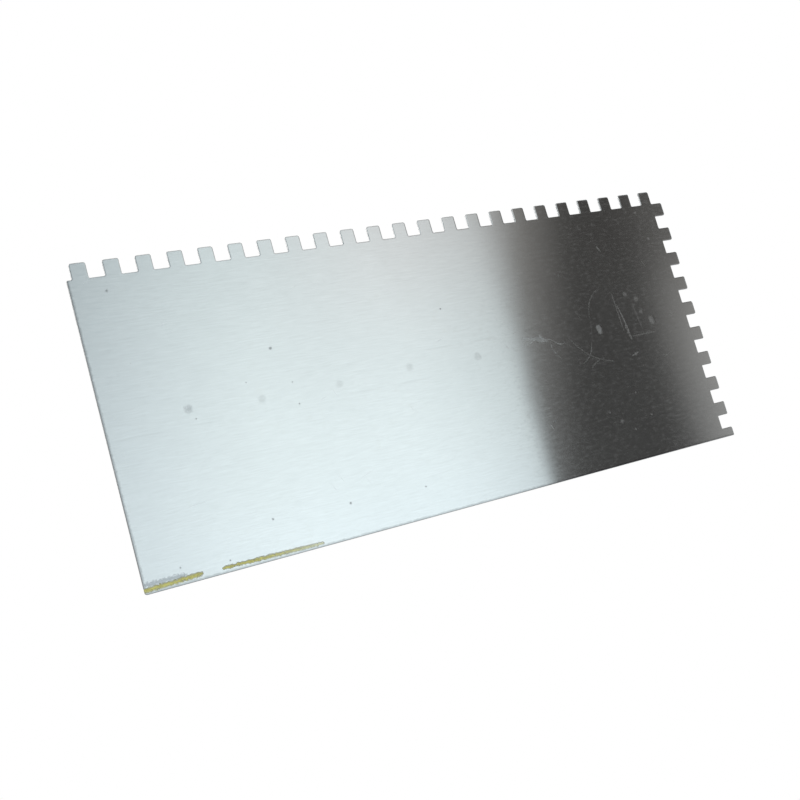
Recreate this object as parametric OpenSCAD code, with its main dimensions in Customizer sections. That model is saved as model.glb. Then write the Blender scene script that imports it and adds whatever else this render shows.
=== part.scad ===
// Notched trowel for tile adhesive: a thin stainless blade with square notches along one long and
// one short edge, a channel rail spot welded to its back, and a closed two-post wooden handle.
// Origin: centre of the blade's working face. +X along the blade towards the notched short edge,
// +Z from the blade up to the handle. The notched long edge is on the -Y side. Millimetres.

/* [Blade] */
// Length of the blade, over the teeth of the short row
blade_l = 278; // [220:1:360]
// Width of the blade, over the teeth of the long row
blade_w = 118; // [90:1:160]
// Thickness of the blade's sheet
blade_t = 0.7; // [0.5:0.05:1.2]

/* [Notches] */
// Width of one notch
notch_w = 6; // [3:0.5:12]
// Width of one tooth
tooth_w = 6; // [3:0.5:12]
// Depth of the notches, and side of the punched-out corner
notch_d = 6; // [3:0.5:12]
// Radius on the corners of the teeth
tip_r = 0.7; // [0.2:0.1:1.2]
// Radius in the corners of the notches
root_r = 0.5; // [0.2:0.1:1.2]

/* [Rail] */
// Length of the rail
rail_l = 246; // [200:1:300]
// Width of the rail over its two walls
rail_w = 11; // [10:0.5:16]
// Height of the rail above the blade
rail_h = 10; // [9:0.5:16]
// Thickness of the rail's sheet
rail_t = 1.5; // [1:0.1:2]
// Outer radius of the rail's two bends
rail_bend_r = 2; // [1.7:0.1:2.2]
// Length of the slope at each end of the rail's walls
rail_nose_l = 9; // [4:0.5:14]
// Height of the rail's walls at their very ends
rail_nose_h = 3; // [2.5:0.1:5]

/* [Spot welds] */
// Diameter of the electrode's mark in the rail's floor
weld_d = 4; // [3:0.1:5]
// Depth of that mark
weld_dent = 0.2; // [0.1:0.05:0.4]
// Distance from the rail's ends to the first and last even weld place
weld_inset = 13; // [11:0.5:18]

/* [Posts] */
// Thickness of a post's stem along the blade
stem_t = 7; // [5:0.5:10]
// Width of a post across the blade
post_w = 13; // [12:0.5:18]
// Height of the post's foot above the rail
foot_h = 3.5; // [2.5:0.5:6]
// Radius of the sweep from the stem to the outer end of the foot
outer_sweep_r = 24; // [14:1:30]
// Radius of the sweep from the stem to the inner end of the foot
inner_sweep_r = 9; // [5:0.5:12]
// Diameter of the pad at the top of a post
pad_d = 30; // [24:1:36]
// Bevel round the edges of the pad
pad_bevel = 1; // [0.5:0.25:1.5]
// Diameter of the raised seat for the washer
seat_d = 15; // [13:0.5:18]
// Height of that seat
seat_h = 1; // [0.5:0.25:2]

/* [Post rivets] */
// Diameter of a rivet's shank
rivet_d = 4; // [3:0.5:5]
// Diameter of a rivet's heads
rivet_head_d = 7; // [5.5:0.5:7.5]
// Height of a rivet's heads
rivet_head_h = 1.8; // [1.2:0.1:2.5]
// Distance from the ends of a post's foot to its rivets
rivet_inset = 8; // [6:0.5:11]

/* [Grip] */
// Length of the wooden grip
grip_l = 124; // [100:1:150]
// Diameter of the grip at its middle
grip_belly_d = 34; // [28:0.5:40]
// Height of the grip's axis above the working face
grip_z = 60; // [50:1:75]
// Outer diameter of the ferrules
ferrule_d = 26; // [22:0.5:28]
// Length of the ferrules
ferrule_l = 12; // [8:0.5:18]
// Thickness of the ferrules' metal
ferrule_t = 1; // [0.6:0.1:1.5]

/* [Tie rod] */
// Diameter of the tie rod
rod_d = 6; // [5:0.5:7.5]
// Outer diameter of the washers
washer_d = 12; // [11:0.5:13]
// Thickness of the washers
washer_t = 1.6; // [1:0.1:2]
// Size of the dome nuts across their flats
nut_af = 10; // [9.5:0.5:11]
// Length of the hexagon of a dome nut
nut_hex_l = 6; // [4:0.5:8]
// Length of a whole dome nut
nut_l = 12; // [11:0.5:15]
// Bevel on the corners of the dome nuts
nut_bevel = 0.4; // [0.2:0.1:0.6]
// How far the tie rod goes into a dome nut
rod_in_nut = 8; // [5:0.5:8.5]

/* [Clearances] */
// Gap on each side of a post's tongue in the rail
tongue_gap = 0.1; // [0.05:0.05:0.3]
// Radial gap of the rivets in their holes
rivet_gap = 0.05; // [0.05:0.05:0.2]
// Gap between the rivets' heads and the underside of a post's foot
rivet_head_gap = 0.5; // [0.2:0.1:1]
// Radial gap of the tie rod in the grip, ferrules, posts and washers
rod_gap = 0.2; // [0.1:0.05:0.4]
// Radial gap of the ferrules on the wood, and of the nuts on the tie rod
fit_gap = 0.05; // [0.03:0.01:0.15]

/* [Hidden] */
$fn = 64;

// How far each spot weld was set from its even place, along and across the rail, by hand
weld_shift = [[2, -0.5], [-1, 1], [0, 1], [0.5, 0], [1.5, 1], [2, -1], [3.5, -0.5], [2.5, 0]];

notch_pitch = notch_w + tooth_w;
rail_top = blade_t + rail_h;
floor_z = blade_t + rail_t;
weld_pitch = (rail_l - 2 * weld_inset) / (len(weld_shift) - 1);
rail_inner_r = rail_bend_r - rail_t;
tongue_w = rail_w - 2 * rail_t - 2 * tongue_gap;

// Stations along X, from the middle of the grip outwards
grip_end = grip_l / 2;
ferrule_mouth = grip_end + ferrule_t - ferrule_l;
stem_in = grip_end + ferrule_t;
stem_out = stem_in + stem_t;
seat_x = stem_out + seat_h;
nut_x = seat_x + washer_t;
foot_in = stem_in - inner_sweep_r;
foot_out = stem_out + outer_sweep_r;
foot_top = rail_top + foot_h;
rivet_z = rail_top - rivet_head_gap - rivet_head_d / 2;

rod_hole_d = rod_d + 2 * rod_gap;
rod_reach = nut_x + rod_in_nut;
rod_bevel = rod_d / 8;
spigot_r = ferrule_d / 2 - ferrule_t - fit_gap;
nut_corner_r = nut_af / cos(30) / 2;
dome_r = nut_af * 0.45;

// How full the grip's barrel is: 2 gives a plain arc, and more keeps its thickness further out
grip_fullness = 2.2;
// Number of straight steps in each half of the grip's outline
grip_steps = 20;
// Empty length left in a dome nut beyond the tie rod
nut_void = 1;
// How far a cutting shape runs past the face that it opens
cut = 1;

// What rounds off a corner at the origin, inside the first quadrant
module corner_2d(r) {
    difference() {
        square(r);
        translate([r, r]) circle(r);
    }
}

// A notch that opens at y = 0 and runs in +Y from x = 0 to x = w, with its own corners rounded
// and the corners of the teeth beside it
module notch_2d(w) {
    difference() {
        translate([0, -cut]) square([w, notch_d + cut]);
        translate([0, notch_d]) mirror([0, 1]) corner_2d(root_r);
        translate([w, notch_d]) rotate(180) corner_2d(root_r);
    }
    mirror([1, 0]) corner_2d(tip_r);
    translate([w, 0]) corner_2d(tip_r);
}

// A row of notches in +X from the end of the punched-out corner: a tooth first, then a notch, and
// so on until the edge ends, wherever that falls
module notch_row_2d(edge_l) {
    for (x = [notch_d + tooth_w : notch_pitch : edge_l])
        translate([x, 0]) notch_2d(notch_w);
}

// The blade's outline: both rows start at the same corner, which is punched out as well
module blade_2d() {
    difference() {
        square([blade_l, blade_w], center = true);
        translate([blade_l / 2, -blade_w / 2]) {
            mirror([1, 0]) notch_row_2d(blade_l);
            rotate(90) notch_row_2d(blade_w);
            difference() {
                translate([-notch_d, -cut]) square([notch_d + cut, notch_d + cut]);
                translate([-notch_d, notch_d]) mirror([0, 1]) corner_2d(root_r);
            }
            translate([-notch_d, 0]) mirror([1, 0]) corner_2d(tip_r);
            translate([0, notch_d]) mirror([1, 0]) corner_2d(tip_r);
        }
        translate([blade_l / 2, blade_w / 2]) rotate(180) corner_2d(tip_r);
        translate([-blade_l / 2, blade_w / 2]) rotate(-90) corner_2d(tip_r);
    }
}

module blade() {
    color("lightgray") linear_extrude(blade_t) blade_2d();
}

// Section of the rail, in Y and Z: a channel that opens upwards
module rail_2d() {
    difference() {
        translate([-rail_w / 2, blade_t]) square([rail_w, rail_h]);
        for (side = [0, 1]) mirror([side, 0])
            translate([-rail_w / 2, blade_t]) corner_2d(rail_bend_r);
        difference() {
            translate([rail_t - rail_w / 2, floor_z]) square([rail_w - 2 * rail_t, rail_h]);
            for (side = [0, 1]) mirror([side, 0])
                translate([rail_t - rail_w / 2, floor_z]) corner_2d(rail_inner_r);
        }
    }
}

// Side view of the rail, in X and Z, with its sloping ends
module rail_side_2d() {
    polygon([
        [-rail_l / 2, blade_t], [rail_l / 2, blade_t],
        [rail_l / 2, blade_t + rail_nose_h], [rail_l / 2 - rail_nose_l, rail_top],
        [rail_nose_l - rail_l / 2, rail_top], [-rail_l / 2, blade_t + rail_nose_h]]);
}

module rail() {
    color("silver") difference() {
        intersection() {
            rotate([90, 0, 90]) linear_extrude(rail_l, center = true) rail_2d();
            rotate([90, 0, 0]) linear_extrude(rail_w, center = true) rail_side_2d();
        }
        for (i = [0 : len(weld_shift) - 1])
            translate([weld_inset - rail_l / 2 + i * weld_pitch + weld_shift[i][0],
                    weld_shift[i][1], floor_z - weld_dent])
                cylinder(h = weld_dent + cut, d = weld_d);
        for (side = [0, 1]) mirror([side, 0, 0]) rivet_holes();
    }
}

// What the two rivets of the front post pass through
module rivet_holes() {
    for (x = [foot_in + rivet_inset, foot_out - rivet_inset])
        translate([x, 0, rivet_z]) rotate([90, 0, 0])
            cylinder(h = post_w + 2 * cut, d = rivet_d + 2 * rivet_gap, center = true);
}

// Side view of the front post above the rail, in X and Z
module post_side_2d() {
    translate([foot_in, rail_top]) square([foot_out - foot_in, foot_h]);
    translate([stem_in, rail_top]) square([stem_t, grip_z - rail_top]);
    translate([stem_out, foot_top]) corner_2d(outer_sweep_r);
    translate([stem_in, foot_top]) mirror([1, 0]) corner_2d(inner_sweep_r);
}

// Section of a post's tongue, in Y and Z, bevelled below to clear the rail's inside corners
module tongue_2d() {
    polygon([
        [rail_inner_r - tongue_w / 2, floor_z], [tongue_w / 2 - rail_inner_r, floor_z],
        [tongue_w / 2, floor_z + rail_inner_r], [tongue_w / 2, rail_top],
        [-tongue_w / 2, rail_top], [-tongue_w / 2, floor_z + rail_inner_r]]);
}

// Round solid along +X from x, with both its rims bevelled
module bevelled_disc(x, length, d, bevel) {
    translate([x, 0, grip_z]) rotate([0, 90, 0]) rotate_extrude()
        polygon([[0, 0], [d / 2 - bevel, 0], [d / 2, bevel], [d / 2, length - bevel],
            [d / 2 - bevel, length], [0, length]]);
}

// The post at the notched end: a tongue in the rail, a foot on its walls, a stem and a round pad
module post() {
    difference() {
        union() {
            rotate([90, 0, 0]) linear_extrude(post_w, center = true) post_side_2d();
            translate([foot_in, 0, 0]) rotate([90, 0, 90])
                linear_extrude(foot_out - foot_in) tongue_2d();
            bevelled_disc(stem_in, stem_t, pad_d, pad_bevel);
            translate([stem_out, 0, grip_z]) rotate([0, 90, 0]) cylinder(h = seat_h, d = seat_d);
        }
        translate([stem_in - cut, 0, grip_z]) rotate([0, 90, 0])
            cylinder(h = stem_t + seat_h + 2 * cut, d = rod_hole_d);
        rivet_holes();
    }
}

module front_post() {
    color("gainsboro") post();
}

module rear_post() {
    color("gainsboro") mirror([1, 0, 0]) post();
}

// The two rivets that pin the front post into the rail, each with a domed head at both ends
module post_rivets() {
    dome_w = rivet_head_d / 2;
    sphere_r = (dome_w * dome_w + rivet_head_h * rivet_head_h) / (2 * rivet_head_h);
    for (x = [foot_in + rivet_inset, foot_out - rivet_inset])
        translate([x, 0, rivet_z]) rotate([90, 0, 0]) {
            cylinder(h = rail_w, d = rivet_d, center = true);
            for (side = [0, 1]) mirror([0, 0, side]) translate([0, 0, rail_w / 2])
                intersection() {
                    translate([0, 0, rivet_head_h - sphere_r]) sphere(sphere_r);
                    cylinder(h = rivet_head_h + cut, r = dome_w);
                }
        }
}

module front_post_rivets() {
    color("darkgray") post_rivets();
}

module rear_post_rivets() {
    color("darkgray") mirror([1, 0, 0]) post_rivets();
}

// Radius of the wood, from the ferrules' mouths (t = -1 and 1) to the belly (t = 0)
function grip_r(t) =
    ferrule_d / 2 + (grip_belly_d - ferrule_d) / 2 * (1 - pow(abs(t), grip_fullness));

module grip() {
    color("burlywood") translate([0, 0, grip_z]) rotate([0, 90, 0]) difference() {
        rotate_extrude() polygon(concat(
            [[0, -grip_end], [spigot_r, -grip_end], [spigot_r, -ferrule_mouth]],
            [for (i = [-grip_steps : grip_steps])
                [grip_r(i / grip_steps), ferrule_mouth * i / grip_steps]],
            [[spigot_r, ferrule_mouth], [spigot_r, grip_end], [0, grip_end]]));
        cylinder(h = grip_l + 2 * cut, d = rod_hole_d, center = true);
    }
}

// The drawn cap on the front end of the grip
module ferrule() {
    translate([ferrule_mouth, 0, grip_z]) rotate([0, 90, 0]) rotate_extrude() difference() {
        square([ferrule_d / 2, ferrule_l]);
        translate([ferrule_d / 2, ferrule_l]) rotate(180) corner_2d(ferrule_t);
        translate([0, -cut]) square([ferrule_d / 2 - ferrule_t, ferrule_l - ferrule_t + cut]);
        square([rod_hole_d / 2, ferrule_l + cut]);
    }
}

module front_ferrule() {
    color("silver") ferrule();
}

module rear_ferrule() {
    color("silver") mirror([1, 0, 0]) ferrule();
}

module tie_rod() {
    color("gray") bevelled_disc(-rod_reach, 2 * rod_reach, rod_d, rod_bevel);
}

module washer() {
    difference() {
        translate([seat_x, 0, grip_z]) rotate([0, 90, 0]) cylinder(h = washer_t, d = washer_d);
        translate([seat_x - cut, 0, grip_z]) rotate([0, 90, 0])
            cylinder(h = washer_t + 2 * cut, d = rod_hole_d);
    }
}

module front_washer() {
    color("lightsteelblue") washer();
}

module rear_washer() {
    color("lightsteelblue") mirror([1, 0, 0]) washer();
}

// The dome nut on the front end of the tie rod: a hexagon, a neck and a round dome
module dome_nut() {
    translate([nut_x, 0, grip_z]) rotate([0, 90, 0]) difference() {
        union() {
            intersection() {
                cylinder(h = nut_hex_l, r = nut_corner_r, $fn = 6);
                rotate_extrude() polygon([[0, 0], [nut_af / 2, 0], [nut_corner_r, nut_bevel],
                    [nut_corner_r, nut_hex_l - nut_bevel], [nut_af / 2, nut_hex_l], [0, nut_hex_l]]);
            }
            cylinder(h = nut_l - dome_r, r = dome_r);
            translate([0, 0, nut_l - dome_r]) sphere(dome_r);
        }
        translate([0, 0, -cut])
            cylinder(h = cut + rod_in_nut + nut_void, d = rod_d + 2 * fit_gap);
    }
}

module front_dome_nut() {
    color("lightsteelblue") dome_nut();
}

module rear_dome_nut() {
    color("lightsteelblue") mirror([1, 0, 0]) dome_nut();
}

blade();
rail();
rear_post();
front_post();
rear_post_rivets();
front_post_rivets();
grip();
rear_ferrule();
front_ferrule();
tie_rod();
rear_washer();
front_washer();
rear_dome_nut();
front_dome_nut();
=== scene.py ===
import logging
import math
from collections.abc import Callable, Iterable
from dataclasses import dataclass
from enum import Enum
from functools import partial, reduce

import bpy
import numpy as np
from mathutils import Matrix, Vector


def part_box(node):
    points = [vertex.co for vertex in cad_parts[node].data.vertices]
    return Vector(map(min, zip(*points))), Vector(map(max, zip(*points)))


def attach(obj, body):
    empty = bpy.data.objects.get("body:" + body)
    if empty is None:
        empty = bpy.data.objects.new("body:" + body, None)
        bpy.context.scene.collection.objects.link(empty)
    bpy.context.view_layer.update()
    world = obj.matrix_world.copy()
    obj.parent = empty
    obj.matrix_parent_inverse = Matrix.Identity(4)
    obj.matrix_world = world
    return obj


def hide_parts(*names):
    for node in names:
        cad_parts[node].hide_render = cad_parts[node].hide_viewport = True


# Looks of a notched trowel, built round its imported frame. Lengths in the classes and in the
# materials are in millimetres; meshes are written in metres.

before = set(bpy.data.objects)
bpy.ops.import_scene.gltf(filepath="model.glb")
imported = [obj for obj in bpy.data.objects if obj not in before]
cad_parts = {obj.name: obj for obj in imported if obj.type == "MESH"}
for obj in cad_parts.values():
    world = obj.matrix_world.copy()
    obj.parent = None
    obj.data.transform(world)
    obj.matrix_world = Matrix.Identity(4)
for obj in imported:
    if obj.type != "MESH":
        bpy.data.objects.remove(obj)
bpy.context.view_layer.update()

LOG = logging.getLogger("notched_trowel")
MM = 0.001
BODY = "root"
SOLID_CORE = 0.25
Socket = bpy.types.NodeSocket
Places = tuple[tuple[float, float], ...]
Triple = tuple[float, float, float]


class End(Enum):
    """An end of the trowel: the notched short edge is at the front."""

    FRONT = 1
    REAR = -1

    @property
    def word(self) -> str:
        """The end's name as it stands in node names."""
        return self.name.lower()


def node_box(node: str) -> tuple[np.ndarray, np.ndarray]:
    """Gives a node's box.

    Args:
        node: Name of a node of the frame.

    Returns:
        Its lowest and highest corners, in millimetres.
    """
    low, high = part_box(node)
    return np.array(low) / MM, np.array(high) / MM


def round_box(node: str) -> tuple[float, float, float, float]:
    """Gives the measures of a node that is round about an axis along X.

    Args:
        node: Name of a node of the frame.

    Returns:
        X of its two ends, its radius, and the height of its axis, in millimetres.
    """
    low, high = node_box(node)
    return low[0], high[0], (high[2] - low[2]) / 2, (low[2] + high[2]) / 2


# ---------------------------------------------------------------------------------------------
# Surfaces worked out with numpy
# ---------------------------------------------------------------------------------------------


@dataclass
class Shell:
    """A closed surface: points in millimetres, faces of any length, and wear from 0 to 1."""

    points: np.ndarray
    faces: list[np.ndarray]
    wear: np.ndarray

    def joined(self, other: "Shell") -> "Shell":
        """Puts another shell beside this one, in the same mesh."""
        shifted = [face + len(self.points) for face in other.faces]
        return Shell(
            np.vstack([self.points, other.points]),
            self.faces + shifted,
            np.concatenate([self.wear, other.wear]),
        )

    def mirrored(self) -> "Shell":
        """The shell reflected in the plane X = 0, with its faces turned outwards again."""
        return Shell(self.points * (-1, 1, 1), [face[..., ::-1] for face in self.faces], self.wear)


def loft(rings: np.ndarray, wear: np.ndarray) -> Shell:
    """Joins closed rings into one surface.

    Ring i and ring i + 1 are joined by quads between the same columns, and the first and last ring
    are each closed by one face. The winding is turned outwards by the sign of the volume, which
    is the sum over all triangles of a dot (b cross c) / 6.

    Args:
        rings: Points, as rows of rings by columns of points by 3.
        wear: Wear of each point, as rows by columns.

    Returns:
        The closed shell.
    """
    rows, columns = rings.shape[:2]
    index = np.arange(rows * columns).reshape(rows, columns)
    here, there = index[:-1], index[1:]
    quads = np.stack(
        [here, np.roll(here, -1, 1), np.roll(there, -1, 1), there], axis=-1
    ).reshape(-1, 4)
    points = rings.reshape(-1, 3)
    faces = [quads, index[0][::-1][None], index[-1][None]]
    volume = 0.0
    for block in faces:
        corners = points[block]
        crossed = np.cross(corners[:, 1:-1], corners[:, 2:])
        volume += float((corners[:, :1] * crossed).sum())
    if volume < 0:
        faces = [block[:, ::-1] for block in faces]
    return Shell(points, faces, wear.reshape(-1))


def spread(values: np.ndarray, count: int) -> np.ndarray:
    """Repeats each of a row of values along a row of its own."""
    return np.repeat(values[:, None], count, axis=1)


def turned(profile: np.ndarray, height: float, segments: int) -> Shell:
    """Turns a profile round an axis that lies along X at a height.

    A point at radius r and angle t goes to (x, r sin t, height + r cos t).

    Args:
        profile: Rows of x and radius, with both ends near the axis.
        height: Height of the axis.
        segments: Points round the axis.

    Returns:
        The closed shell.
    """
    angle = np.linspace(0, 2 * np.pi, segments, endpoint=False)
    x = spread(profile[:, 0], segments)
    y = profile[:, 1:] * np.sin(angle)
    z = height + profile[:, 1:] * np.cos(angle)
    return loft(np.stack([x, y, z], axis=-1), spread(rim_wear(profile), segments))


def rim_wear(profile: np.ndarray) -> np.ndarray:
    """How exposed each point of a profile is: the sine of half its turn, for outward turns.

    Args:
        profile: Rows of two coordinates, in order.

    Returns:
        One value from 0 to 1 for each row.
    """
    step = np.diff(profile, axis=0)
    heading = np.unwrap(np.arctan2(step[:, 1], step[:, 0]))
    turn = np.zeros(len(profile))
    turn[1:-1] = -np.diff(heading)
    return np.clip(np.sin(np.clip(turn, 0, np.pi) / 2) * 4, 0, 1)


def rounded(corners: np.ndarray, radii: np.ndarray, inset: float = 0.0, steps: int = 4) -> np.ndarray:
    """Outline of a polygon of right angles with rounded corners, drawn smaller by an inset.

    Each corner P with unit vectors a to the corner before and b to the one after has its arc
    about P + r (a + b). The arc's radius is r less the inset where the outline bulges and r plus
    the inset where it is hollow, so every inset has the same points in the same order.

    Args:
        corners: Rows of two coordinates, anticlockwise.
        radii: A radius for each corner.
        inset: Distance that the outline moves inwards.
        steps: Straight steps in each arc.

    Returns:
        Rows of two coordinates.
    """
    back = np.roll(corners, 1, axis=0) - corners
    ahead = np.roll(corners, -1, axis=0) - corners
    bulge = np.sign(ahead[:, 0] * back[:, 1] - ahead[:, 1] * back[:, 0])
    back /= np.linalg.norm(back, axis=1, keepdims=True)
    ahead /= np.linalg.norm(ahead, axis=1, keepdims=True)
    centre = corners + radii[:, None] * (back + ahead)
    angle = np.linspace(0, np.pi / 2, steps + 1)[None, :, None]
    spoke = ahead[:, None] * np.cos(angle) + back[:, None] * np.sin(angle)
    radius = (radii - bulge * inset)[:, None, None]
    return (centre[:, None] - radius * spoke).reshape(-1, 2)


def resampled(outline: np.ndarray, spacing: float) -> np.ndarray:
    """Adds points along the long sides of a closed outline, and keeps its own points.

    Args:
        outline: Rows of two coordinates.
        spacing: Longest distance wanted between two points.

    Returns:
        Rows of two coordinates, walked by linear interpolation along the outline's length.
    """
    closed = np.vstack([outline, outline[:1]])
    length = np.concatenate([[0], np.cumsum(np.linalg.norm(np.diff(closed, axis=0), axis=1))])
    extra = np.linspace(0, length[-1], int(length[-1] / spacing), endpoint=False)
    at = np.unique(np.round(np.concatenate([length[:-1], extra]), 3))
    return np.stack([np.interp(at, length, closed[:, i]) for i in (0, 1)], axis=-1)


def put_mesh(name: str, shell: Shell, sharp: float = 35.0) -> bpy.types.Object:
    """Writes a shell into a new mesh object at the origin.

    Args:
        name: Name of the object.
        shell: The surface.
        sharp: Edges that turn more than this angle, in degrees, stay sharp.

    Returns:
        The object, with its wear in the float attribute "wear".
    """
    sizes = np.concatenate([np.full(len(block), block.shape[1]) for block in shell.faces])
    loops = np.concatenate([block.ravel() for block in shell.faces])
    mesh = bpy.data.meshes.new(name)
    mesh.vertices.add(len(shell.points))
    mesh.vertices.foreach_set("co", (shell.points * MM).ravel())
    mesh.loops.add(len(loops))
    mesh.loops.foreach_set("vertex_index", loops.astype(np.int32))
    mesh.polygons.add(len(sizes))
    starts = np.concatenate([[0], np.cumsum(sizes)[:-1]])
    mesh.polygons.foreach_set("loop_start", starts.astype(np.int32))
    mesh.polygons.foreach_set("use_smooth", np.ones(len(sizes), dtype=bool))
    mesh.update(calc_edges=True)
    mesh.validate()
    mesh.attributes.new("wear", "FLOAT", "POINT").data.foreach_set("value", shell.wear)
    mesh.set_sharp_from_angle(angle=math.radians(sharp))
    piece = bpy.data.objects.new(name, mesh)
    bpy.context.scene.collection.objects.link(piece)
    return piece


def stand_in(piece: bpy.types.Object, node: str, material: bpy.types.Material) -> None:
    """Lets a piece stand for a node of the frame, with its material.

    Args:
        piece: The new piece.
        node: The node that it replaces.
        material: The finish.
    """
    piece.data.materials.append(material)
    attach(piece, BODY)
    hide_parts(node)
    LOG.info("%s stands for %s: %d vertices", piece.name, node, len(piece.data.vertices))


# ---------------------------------------------------------------------------------------------
# Material nodes
# ---------------------------------------------------------------------------------------------


class Graph:
    """Adds nodes to one node tree and joins them.

    A shader can keep only so many values at a time, and past that it renders black. So the marks
    on the blade share their noises, and change colour and roughness rather than the normal.
    """

    def __init__(self, tree: bpy.types.NodeTree) -> None:
        """Starts on a node tree."""
        self.tree = tree

    def add(self, kind: str, **settings: object) -> bpy.types.Node:
        """Adds a shader node of a kind, such as "Math", with its settings."""
        made = self.tree.nodes.new("ShaderNode" + kind)
        for key, value in settings.items():
            setattr(made, key, value)
        return made

    def feed(self, target: Socket, source: object) -> None:
        """Links a socket to another, or sets its value if the source is a plain one."""
        if isinstance(source, bpy.types.NodeSocket):
            self.tree.links.new(source, target)
        else:
            target.default_value = source

    def math(self, operation: str, *values: object, clamp: bool = False) -> Socket:
        """Adds a Math node on its values and gives its output."""
        made = self.add("Math", operation=operation, use_clamp=clamp)
        for socket, value in zip(made.inputs, values):
            self.feed(socket, value)
        return made.outputs[0]

    def times(self, first: object, *others: object) -> Socket:
        """Multiplies numbers, from the left."""
        return reduce(partial(self.math, "MULTIPLY"), others, first)

    def plus(self, first: object, second: object) -> Socket:
        """Adds two numbers."""
        return self.math("ADD", first, second)

    def less(self, first: object, second: object) -> Socket:
        """Takes the second number from the first."""
        return self.math("SUBTRACT", first, second)

    def most(self, masks: Iterable[Socket]) -> Socket:
        """The largest of some masks."""
        return reduce(partial(self.math, "MAXIMUM"), masks)

    def vector(self, operation: str, *values: object) -> Socket:
        """Adds a Vector Math node and gives its vector, or its value for a length or dot."""
        made = self.add("VectorMath", operation=operation)
        for socket, value in zip(made.inputs, values):
            self.feed(socket, value)
        single = operation in ("LENGTH", "DOT_PRODUCT", "DISTANCE")
        return made.outputs["Value" if single else "Vector"]

    def scaled(self, vector: Socket, factor: object) -> Socket:
        """Multiplies a vector by a number."""
        made = self.add("VectorMath", operation="SCALE")
        self.feed(made.inputs[0], vector)
        self.feed(made.inputs["Scale"], factor)
        return made.outputs["Vector"]

    def millimetres(self) -> Socket:
        """The place on the object, in millimetres of the frame."""
        return self.scaled(self.add("TexCoord").outputs["Object"], 1 / MM)

    def parts(self, vector: Socket) -> tuple[Socket, Socket, Socket]:
        """Splits a vector into its three parts."""
        made = self.add("SeparateXYZ")
        self.feed(made.inputs[0], vector)
        return made.outputs[0], made.outputs[1], made.outputs[2]

    def combine(self, x: object, y: object, z: object) -> Socket:
        """Makes a vector of three parts."""
        made = self.add("CombineXYZ")
        for socket, value in zip(made.inputs, (x, y, z)):
            self.feed(socket, value)
        return made.outputs[0]

    def noise(self, vector: Socket, scale: float, detail: float = 2.0, rough: float = 0.5) -> Socket:
        """Adds a noise texture and gives its value, from 0 to 1."""
        made = self.add("TexNoise")
        self.feed(made.inputs["Vector"], vector)
        for key, value in (("Scale", scale), ("Detail", detail), ("Roughness", rough)):
            self.feed(made.inputs[key], value)
        return made.outputs["Fac"]

    def smooth(
        self, value: object, low: object, high: object, start: object = 0.0, end: object = 1.0
    ) -> Socket:
        """Maps a value from low..high to start..end along a smooth step."""
        made = self.add("MapRange", interpolation_type="SMOOTHSTEP")
        for socket, given in zip(made.inputs, (value, low, high, start, end)):
            self.feed(socket, given)
        return made.outputs[0]

    def number(self, factor: object, first: object, second: object) -> Socket:
        """Mixes two numbers by a factor."""
        made = self.add("Mix", data_type="FLOAT")
        for index, value in ((0, factor), (2, first), (3, second)):
            self.feed(made.inputs[index], value)
        return made.outputs[0]

    def colour(self, factor: object, first: object, second: object, mode: str = "MIX") -> Socket:
        """Mixes two colours by a factor, in a blending mode."""
        made = self.add("Mix", data_type="RGBA", blend_type=mode)
        for index, value in ((0, factor), (6, first), (7, second)):
            self.feed(made.inputs[index], opaque(value))
        return made.outputs[2]

    def bump(self, height: Socket, depth: float, under: Socket | None = None) -> Socket:
        """Adds a bump of a depth in millimetres, on top of another normal if one is given."""
        made = self.add("Bump")
        made.inputs["Strength"].default_value = 1.0
        made.inputs["Distance"].default_value = depth * MM
        self.feed(made.inputs["Height"], height)
        if under is not None:
            self.feed(made.inputs["Normal"], under)
        return made.outputs["Normal"]

    def group(self, tree: bpy.types.NodeTree, **given: object) -> Socket:
        """Places a node group, feeds its inputs by name and gives its one output."""
        made = self.add("Group", node_tree=tree)
        for key, value in given.items():
            self.feed(made.inputs[key], value)
        return made.outputs[0]

    def shaded(self, tone: Socket, *factors: tuple[Socket, float, float]) -> Socket:
        """Multiplies a tone by a factor for each mask: the first number off it, the second on it."""
        for mask, off, on in factors:
            tone = self.times(tone, self.number(mask, off, on))
        return tone

    def tinted(self, tint: object, tone: Socket) -> Socket:
        """Makes a colour lighter or darker by a tone."""
        return self.colour(1.0, tint, self.combine(tone, tone, tone), "MULTIPLY")

    def coated(self, colour: Socket, *coats: tuple[Socket, float, object]) -> Socket:
        """Lays colours over one another, each as far as its mask times its share."""
        for mask, share, coat in coats:
            colour = self.colour(self.times(mask, share), colour, coat)
        return colour

    def raised(self, value: Socket, *steps: tuple[Socket, float]) -> Socket:
        """Adds each mask times its amount to a value."""
        for mask, amount in steps:
            value = self.plus(value, self.times(mask, amount))
        return value


def opaque(value: object) -> object:
    """Gives a plain colour of three parts its fourth, and leaves anything else as it is."""
    return (*value, 1.0) if isinstance(value, tuple) and len(value) == 3 else value


def empty_material(name: str) -> tuple[bpy.types.Material, Graph]:
    """Makes a material without nodes, and a graph on its node tree."""
    made = bpy.data.materials.new(name)
    made.use_nodes = True
    made.node_tree.nodes.clear()
    return made, Graph(made.node_tree)


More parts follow.
